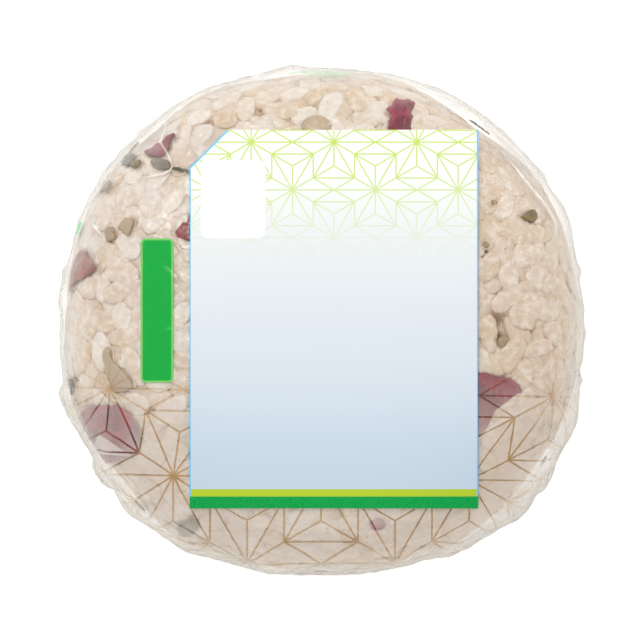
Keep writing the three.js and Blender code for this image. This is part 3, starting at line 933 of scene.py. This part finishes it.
def hidden_chips(count, size):
    """Tones and outlines of pieces on the rim and the back, and where they lie."""
    made = []
    while len(made) < count:
        angle = rng.uniform(0, 2 * math.pi)
        arc = rng.uniform(*HIDDEN_ARCS)
        place = surface(np.array([angle]), np.array([arc]))
        normal = outward(place)
        along, across = tangents(normal, rng.uniform(0, math.pi, 1))
        corners = rng.integers(5, 8)
        turn = np.sort(rng.uniform(0, 2 * math.pi, corners))
        reach = rng.uniform(0.5, 1.1, corners) * size * rng.uniform(0.5, 1.2)
        outline = np.stack([np.cos(turn) * reach * 1.35, np.sin(turn) * reach * 0.8], -1)
        if np.diff(np.concatenate([turn, [turn[0] + 2 * math.pi]])).max() < 2.6:
            lift = local_surface(place[0], along[0], across[0])
            made.append((rng.uniform(0, 1), 0.1, outline, lift, place[0]))
    return made


def make_chips(name, material, pieces, extra, fray):
    rows = [(tone, pale, outline, plan_surface, None) for tone, pale, outline in pieces] + extra
    parts = []
    for number, (tone, pale, outline, lift, centre) in enumerate(rows):
        points, triangles, dome = chip_mesh(outline, lift, fray, SEED + number)
        parts.append((points, triangles, {"dome": dome, "tone": tone, "pale": pale}))
    add_joined(name, material, parts)


# The film.


def pleat_lines():
    """For each pleat, points along it on the pack and how far it stands proud at each."""
    share = np.linspace(0, 1, 25)
    arc = PLEAT_START + (PLEAT_END - PLEAT_START) * share
    for end, offset, height in PLEATS:
        angle = np.radians(end + offset * (1 + (PLEAT_GATHER - 1) * share))
        yield surface(angle, arc), height * np.sin(math.pi * np.clip(share, 0.001, 0.999)) ** 0.6


def near_line(points, line, reach):
    """Which points lie within reach of a line's middle, how far from the line, and where along it."""
    close = np.linalg.norm(points - line[len(line) // 2], axis=1) < reach
    start = line[:-1]
    run = np.diff(line, axis=0)
    share = np.clip(((points[close, None] - start) * run).sum(2) / (run**2).sum(1), 0, 1)
    away = np.linalg.norm(points[close, None] - (start + share[..., None] * run), axis=2)
    best = away.argmin(1)
    return close, away.min(1), best, share[np.arange(len(best)), best]


def smooth_noise(points, size, seed):
    """Smooth waves between about -1 and 1 whose bumps are about size apart."""
    draw = np.random.default_rng(seed)
    total = np.zeros(len(points))
    for _ in range(14):
        direction = draw.normal(0, 1, 3)
        direction /= np.linalg.norm(direction)
        pitch = size * draw.uniform(0.7, 1.6)
        total += np.sin(points @ direction * 2 * math.pi / pitch + draw.uniform(0, 2 * math.pi))
    return total / math.sqrt(14)


def film_relief(points, angle):
    """How far the film stands off its smooth form, and how milky its creases make it."""
    rim = rim_share(points)
    relief = FILM_WAVE * smooth_noise(points, 5.5, 3) * (0.35 + 0.65 * rim)
    relief += 0.05 * smooth_noise(points, 2.2, 4) * (0.5 + rim)
    for centre, width, depth in FILM_DENTS:
        relief += depth * rim**2 * np.exp(-((turned(angle, centre) / width) ** 2))
    milk = np.zeros(len(points))
    draw = np.random.default_rng(CREASE_SEED)
    angles = draw.uniform(0, 2 * math.pi, FILM_CREASES)
    arcs = draw.normal(*CREASE_ARC, FILM_CREASES).clip(20, 90)
    lean = draw.normal(0, 0.09, FILM_CREASES)
    run = draw.uniform(*CREASE_LENGTH, FILM_CREASES) * draw.choice([-1, 1], FILM_CREASES)
    steps = np.array([0, 0.5, 1])
    for k in range(FILM_CREASES):
        line = surface(angles[k] + lean[k] * steps, arcs[k] + run[k] * steps)
        width = draw.uniform(*CREASE_WIDTH)
        height = draw.uniform(*CREASE_HEIGHT) * draw.choice([-1, 1], p=[0.3, 0.7])
        close, away, part, share = near_line(points, line, abs(run[k]))
        taper = np.sin(math.pi * np.clip((part + share) / 2, 0, 1))
        ridge = np.exp(-((away / width) ** 2)) * taper
        relief[close] += height * ridge
        milk[close] = np.maximum(milk[close], ridge * abs(height) * 2.4)
    for line, proud in pleat_lines():
        close, away, part, share = near_line(points, line, 26)
        ridge = np.exp(-((away / 0.8) ** 2)) * proud[part]
        relief[close] += 0.75 * ridge
        milk[close] = np.maximum(milk[close], np.minimum(ridge, 0.9))
    return relief * (1 - ease(3.0, 0.8, points[:, 2])), milk


def make_film(material):
    arcs = np.clip(ARC_LENGTH * np.linspace(0, 1, FILM_ROWS), 0.25, ARC_LENGTH - 0.25)
    angle, arc = rings(arcs, FILM_COLUMNS)
    points = surface(angle, arc)
    relief, milk = film_relief(points, angle)
    relief = np.where(under_label(points, -0.6), np.clip(relief, -0.06, 0.05), relief)
    place = points + outward(points) * np.clip(relief, -0.7, 1.1)[:, None]
    place[:, 2] = np.maximum(place[:, 2], 0.25)
    radius = np.hypot(points[:, 0], points[:, 1])
    band = ease(0.9, 1.0, radius / plan_radius(angle))
    loose = np.clip((rice_gap(points) - LEAST_GAP) / 3, 0, 1)
    veil = FILM_VEIL + RIM_VEIL * band + LOOSE_VEIL * loose * band + CREASE_VEIL * milk
    veil += 0.05 * np.clip(smooth_noise(points, 9, 9), -1, 2) * (0.25 + band)
    for x, y, size, share in MILKY_PLACES:
        away = np.linalg.norm(points - on_face(x, y), axis=1)
        veil += 0.7 * share * np.exp(-((away / size) ** 2))

    # The print lies flat on the face and runs on over the rim by the length along the film.
    turn_arc = arc[points[:, 2] > PRINT_TURN].max()
    edge = surface(angle, np.full(len(arc), turn_arc))
    spread = np.where(arc > turn_arc, np.hypot(edge[:, 0], edge[:, 1]) + arc - turn_arc, radius)
    flat_x = spread * np.cos(angle) - PRINT_LEAN * ease(-25.5, -11.0, points[:, 1])
    flat_y = spread * np.sin(angle) + PRINT_TURNED * flat_x * ease(-28.0, -21.0, points[:, 1])
    place, faces = closed_skin(place, FILM_COLUMNS)
    ends = np.zeros(2)
    look = {"flat_x": np.append(flat_x, ends), "flat_y": np.append(flat_y, ends)}
    look["veil"] = np.append(np.clip(veil, 0.02, 0.8), ends + 0.05)
    add_piece("film", material, place, faces, "rice_in_film", ["rice_pack"], **look)


def sheet_of_film(corners, low, top, seed):
    """Points of a thin rippled sheet between four corners in the plan."""
    v, u = np.meshgrid(*(np.linspace(0, 1, count) for count in TAIL_GRID), indexing="ij")
    u, v = u.reshape(-1, 1), v.reshape(-1, 1)
    a, b, c, d = np.array(corners)
    plan = (a * (1 - u) + b * u) * (1 - v) + (d * (1 - u) + c * u) * v
    ripple = 0.03 * smooth_noise(np.pad(plan, ((0, 0), (0, 1))), 6, seed).clip(-1, 1)
    return np.concatenate([np.column_stack([plan, z + ripple]) for z in (top, low)])


def make_tails(material):
    """The film's two ends, folded flat under the base over its back seam."""
    along, across = SEAM_LENGTH / 2, SEAM_WIDTH / 2
    sheets = [([(-along, -across), (along, -across), (along, across), (-along, across)], *SEAM_LEVELS)]
    tip = TAIL_ROOT - TAIL_LENGTH
    for side in (1, -1):
        for share, low, top in TAIL_LEVELS:
            wide, narrow = side * share * TAIL_ROOT_WIDTH / 2, side * share * TAIL_TIP_WIDTH / 2
            root_x, tip_x = side * TAIL_ROOT, side * tip
            corners = [(root_x, -wide), (root_x, wide), (tip_x, narrow), (tip_x, -narrow)]
            sheets.append((corners, low, top))
    parts = []
    for number, sheet in enumerate(sheets):
        points = sheet_of_film(*sheet, 40 + number)
        look = {"veil": TAIL_VEIL, "flat_x": points[:, 0], "flat_y": 20.0}
        parts.append((points, sheet_faces(*TAIL_GRID), look))
    add_joined("film_tails", material, parts)


def along_line(line, steps):
    """Evenly spaced places and widths along a line given as [x, y, half width]."""
    line = np.array(line, dtype=float)
    length = np.concatenate([[0], np.cumsum(np.hypot(*np.diff(line[:, :2], axis=0).T))])
    share = np.linspace(0, length[-1], steps)
    return [np.interp(share, length, line[:, k]) for k in range(3)]


def make_folds(material):
    """Narrow folds that stand up in the film: whitish strips, partly the doubled film and partly a painted
    highlight of the light they catch.
    """
    across = np.array([-1, -0.55, 0, 0.55, 1])
    lift = np.array([0.1, 0.2, 0.3, 0.2, 0.1])
    cover = np.array([0, 0.75, 1, 0.75, 0])
    parts = []
    for strength, line in FILM_FOLDS:
        steps = 10 * len(line)
        x, y, half = along_line(line, steps)
        middle = on_face(x, y)
        side = np.cross(outward(middle), np.gradient(middle, axis=0))
        side /= np.linalg.norm(side, axis=1, keepdims=True)
        rows = middle[:, None] + side[:, None] * (half[:, None] * across)[..., None]
        for _ in range(3):
            rows = rows + outward(rows) * depth_below(rows)[..., None]
        rows = rows + outward(rows) * (lift * np.minimum(1, half[:, None] * 3))[..., None]
        ends = np.sin(math.pi * np.linspace(0.04, 0.96, steps)) ** 0.4
        veil = (strength * ends[:, None] * cover).ravel()
        parts.append((rows.reshape(-1, 3), grid_faces(steps, len(across), closed=False), {"veil": veil}))
    add_joined("film_fold_highlights", material, parts)


# The label.


def make_label(material):
    rows, columns = LABEL_GRID
    left = LABEL_CENTRE[0] - LABEL_WIDTH / 2
    bottom = LABEL_CENTRE[1] - LABEL_HEIGHT / 2
    x = np.linspace(left, left + LABEL_WIDTH, columns)
    height = np.minimum(LABEL_HEIGHT, LABEL_HEIGHT - LABEL_CUT + x - left)
    y = bottom + np.linspace(0, 1, rows)[:, None] * height
    places = on_face(np.tile(x, rows), y.ravel())
    normals = outward(places)
    sheet = np.concatenate([places + normals * LABEL_TOP, places + normals * LABEL_LOW])
    faces = sheet_faces(rows, columns)
    piece = add_piece("label_sheet", material, sheet, faces, "label_paper", ["label"])
    piece.data.set_sharp_from_angle(angle=math.radians(60))


# The materials.


def rice_material():
    """Cooked rice: milky and wet, with white flecks and brown specks, with painted shade where it lies deep,
    and warmer and darker towards the right, partly its own colour and partly painted shade.
    """
    graph = Graph("rice")
    tone = graph.attribute("tone")
    below = graph.attribute("below")
    fine = graph.noise(0.5, distortion=0.5)
    grit = graph.noise(0.9)
    cells = graph.node("TexVoronoi", Vector=graph.where, Scale=1.2).outputs
    chosen = Value(graph, graph.node("SeparateColor", cells["Color"]).outputs[0])
    speck = Value(graph, cells["Distance"]).span(0.1, 0.2, 0.75, 0.0) * chosen.span(0.95, 0.96)
    colour = graph.tinted(
        RICE_PALE,
        ((tone * 0.5 + fine * 0.5).span(0.28, 0.72), RICE_WARM),
        (graph.noise(0.11).span(0.42, 0.66, 0.0, 0.5), RICE_ROSY),
        # Partly painted shade: warmer and darker towards the right, partly the rice's own colour and partly
        # the fall of the light.
        (graph.x.span(0.0, 38.0, 0.0, 0.7), RICE_WARM),
        (grit.span(0.42, 0.74, 0.0, 0.45), RICE_WHITE),
        # Painted shade: tan, then deep brown, where the rice lies deep below the film.
        (below.span(0.25, 0.75, 0.0, 0.6), RICE_TAN),
        (below.span(0.8, 1.7, 0.0, 0.9), RICE_DEEP),
        (speck, RICE_SPECK),
    )
    bump = graph.bump(grit * 0.14 + fine, 0.0009, 0.6)
    return graph.solid(colour, grit.span(0.35, 0.65, 0.28, 0.48), bump)


def chip_material(name, first, second, light, streak):
    """Plum or seaweed: each piece has its own tone between two pairs of dark and bright colours."""
    graph = Graph(name)
    stretched = graph.node("Mapping", Vector=graph.where, Scale=streak).outputs[0]
    fibres = graph.noise(1.0, 3.0, 0.6, vector=stretched)
    patch = graph.noise(0.32, 3.0, 0.6).span(0.36, 0.64)
    colour = graph.tinted(
        graph.blend(patch, *first),
        (graph.attribute("tone"), graph.blend(patch, *second)),
        (fibres.span(0.5, 0.7, 0.0, 0.5), light),
        (graph.attribute("dome").span(0.1, 0.75, 0.2, 0.0), light),
        (graph.attribute("pale"), RICE_WARM),
    )
    return graph.solid(colour, fibres.span(0.3, 0.7, 0.3, 0.5), graph.bump(fibres, 0.00025, 0.6))


def film_material():
    """Clear film: mostly let through, a little milky, glossy, with its print on it."""
    graph = Graph("clear_film")
    x, y, z = graph.x, graph.y, graph.z
    flat_x, flat_y = graph.attribute("flat_x"), graph.attribute("flat_y")
    veil = graph.attribute("veil")
    edges = {"feature": "DISTANCE_TO_EDGE"}
    crumple = graph.node("TexVoronoi", settings=edges, Vector=graph.where, Scale=0.16)
    line = Value(graph, crumple.outputs["Distance"]).span(0.0, 0.035, 1.0, 0.0) * veil.span(0.08, 0.24)
    fine = graph.noise(0.42, 3.0, 0.55, 0.6)
    veil = fine.span(0.52, 0.75) * 0.035 + veil

    lattice = hemp_leaf(flat_x, flat_y, PRINT_STAR, PRINT_UNIT, PRINT_LINE)
    fade = flat_y.span(-4.5, -18.0)
    patchy = graph.noise(0.09, vector=graph.node("CombineXYZ", flat_x, flat_y).outputs[0])
    dense = patchy.span(0.35, 0.65, 0.26, 0.44)
    for corners in DENSE_LEAVES:
        dense = dense.at_least(inside(x, y, corners) * 0.62)
    printed = fade * (1.0 - lattice) * dense

    strip = rounded_box(x, y, STRIP_CENTRE, STRIP_SIZE, 0.7)
    on_strip = strip.span(-0.03, 0.03, 1.0, 0.0) * (z > MIDDLE_HEIGHT)
    green = graph.blend(strip.span(-0.34, -0.26), STRIP_GREEN, STRIP_EDGE)
    veiled = (veil.span(0.12, 0.3), VEIL_GREY)
    colour = graph.tinted(FILM_WHITE, (fade, PRINT_WHITE), veiled, (on_strip, green))
    cover = veil.at_least(printed).at_least(on_strip * 0.93)
    for mark_x, mark_y, length, width, turn, share in FILM_MARKS:
        mark_z = float(on_face(mark_x, mark_y)[2]) - MARK_DROP
        mark = oval(x, y, (mark_x, mark_y), (length, width), turn)
        mark = mark * abs(z - mark_z).span(1.2, 1.8, share, 0.0)
        colour = graph.blend(mark, colour, MARK_GREEN)
        cover = cover.at_least(mark)

    bump = graph.bump((line * 0.2 + fine) * (1.0 - on_strip * 0.85), 0.001, 0.5)
    clear = graph.shader("Transparent", graph.blend(fade * lattice, (1.0, 1.0, 1.0), PRINT_GOLD))
    milk = graph.shader("Diffuse", colour, Normal=bump)
    gloss = graph.shader("Glossy", GLOSS_GREY, Roughness=0.13, Normal=bump)
    body = graph.mix_shader(cover.at_most(1.0), clear, milk)
    return graph.close(graph.mix_shader(graph.shine(0.04, 0.75), body, gloss))


def fold_material():
    """Film folded on itself, whiter than the film round it: partly by its doubled film and partly by a
    painted highlight.
    """
    graph = Graph("fold_highlight_paint")
    fine = graph.noise(0.9, 3.0, 0.6)
    bump = graph.bump(fine, 0.0001, 0.3)
    milk = graph.shader("Diffuse", graph.blend(fine, FOLD_GREY, FOLD_WHITE), Normal=bump)
    gloss = graph.shader("Glossy", (1.0, 1.0, 1.0), Roughness=0.2, Normal=bump)
    body = graph.mix_shader(graph.shine(0.06, 0.5), milk, gloss)
    cover = graph.attribute("veil") * fine.span(0.25, 0.6, 0.55, 0.95)
    return graph.close(graph.mix_shader(cover, graph.shader("Transparent", (1.0, 1.0, 1.0)), body))


def label_material():
    """Paper with a pale blue gradient, a lattice fading down from its top, and two stripes."""
    graph = Graph("label_paper")
    x = graph.x - LABEL_CENTRE[0]
    y = graph.y - LABEL_CENTRE[1]
    lattice = hemp_leaf(x, y, LABEL_STAR, LABEL_UNIT, LABEL_LINE)
    patch = rounded_box(x, y, PATCH_CENTRE, PATCH_SIZE, 1.0)
    side = LABEL_WIDTH / 2 - abs(x)
    cut = (x + ((LABEL_WIDTH + LABEL_HEIGHT) / 2 - LABEL_CUT) - y) / math.sqrt(2)
    edge = side.at_most(cut).span(0.05, 0.1, 1.0, 0.0) * (y > GREEN_STRIPE)
    fibres = graph.noise(3.5, 3.0, 0.6)
    colour = graph.tinted(
        LABEL_BLUE,
        (y.span(-24.0, -1.0), LABEL_PALE),
        (y.span(-4.0, 12.0), linear(221, 225, 226)),
        (y.span(8.0, 26.0), linear(237, 238, 233)),
        (lattice * y.span(6.5, 26.0, 0.0, 0.95), linear(190, 213, 92)),
        (patch.span(-0.05, 0.05, 1.0, 0.0), linear(246, 246, 243)),
        (y.span(LIME_STRIPE - 0.03, LIME_STRIPE + 0.03, 1.0, 0.0), linear(175, 199, 44)),
        (y.span(GREEN_STRIPE - 0.03, GREEN_STRIPE + 0.03, 1.0, 0.0), linear(0, 154, 68)),
        (edge, linear(96, 192, 244)),
        (fibres.span(0.35, 0.7, 0.0, 0.05), linear(190, 196, 200)),
    )
    return graph.solid(colour, fibres.span(0.3, 0.7, 0.5, 0.62), graph.bump(fibres, 0.00003, 0.4), 0.02)


def make_floor():
    """A matt white floor with a little light of its own."""
    graph = Graph("floor")
    colour = graph.blend(graph.noise(0.02).span(0.3, 0.7), (0.9, 0.9, 0.9), (0.92, 0.92, 0.92))
    glow = graph.node("Emission", Color=(1.0, 1.0, 1.0), Strength=FLOOR_GLOW).outputs[0]
    both = graph.node("AddShader", graph.shader("Diffuse", colour), glow).outputs[0]
    mesh = bpy.data.meshes.new("floor")
    corners = [(-1, -1), (1, -1), (1, 1), (-1, 1)]
    mesh.from_pydata([(x * FLOOR_REACH, y * FLOOR_REACH, 0) for x, y in corners], [], [(0, 1, 2, 3)])
    mesh.materials.append(graph.close(both))
    floor = add_object("floor", mesh)


# The floor, the light and the camera.


def add_light(name, size, power, azimuth, elevation, distance):
    data = bpy.data.lights.new(name, "AREA")
    data.size = size
    data.energy = power
    lamp = add_object(name, data)
    turn, lift = math.radians(azimuth), math.radians(elevation)
    away = Vector((math.cos(turn) * math.cos(lift), math.sin(turn) * math.cos(lift), math.sin(lift)))
    lamp.location = Vector((0, 0, MIDDLE_HEIGHT * MM)) + away * distance
    lamp.rotation_mode = "QUATERNION"
    lamp.rotation_quaternion = away.to_track_quat("Z", "Y")


def make_light():
    world = bpy.data.worlds.new("studio")
    bpy.context.scene.world = world
    world.use_nodes = True
    background = world.node_tree.nodes["Background"]
    background.inputs["Color"].default_value = (1, 1, 1, 1)
    background.inputs["Strength"].default_value = WORLD_GLOW
    for light in LIGHTS:
        add_light(*light)


def make_camera():
    data = bpy.data.cameras.new("camera")
    data.lens = LENS
    data.sensor_width = SENSOR
    data.clip_end = 20
    camera = add_object("camera", data)
    distance = VIEW_WIDTH * LENS / SENSOR
    camera.location = Vector((*VIEW_CENTRE, VIEW_HEIGHT + distance)) * MM
    bpy.context.scene.camera = camera


make_camera()
make_light()
make_floor()
bpy.context.scene.view_settings.view_transform = "Standard"

plum = chip_material(
    "pickled_plum",
    (linear(100, 12, 36), linear(148, 44, 68)),
    (linear(120, 34, 12), linear(150, 66, 36)),
    linear(170, 80, 88),
    (1.6, 0.5, 0.5),
)
seaweed = chip_material(
    "seaweed",
    (linear(34, 38, 32), linear(74, 76, 62)),
    (linear(84, 66, 0), linear(128, 100, 0)),
    linear(118, 108, 60),
    (1.4, 0.6, 0.6),
)
rice = rice_material()

hollows = find_hollows()
more_plum = hidden_chips(*HIDDEN_PLUM)
more_seaweed = hidden_chips(*HIDDEN_SEAWEED)
make_rice(rice, more_plum + more_seaweed)
make_core(rice, more_plum + more_seaweed)
make_chips("plum_pieces", plum, PLUM_PIECES, more_plum, 0.05)
make_chips("seaweed_pieces", seaweed, SEAWEED_PIECES, more_seaweed, 0.04)
film = film_material()
make_film(film)
make_tails(film)
make_folds(fold_material())
make_label(label_material())
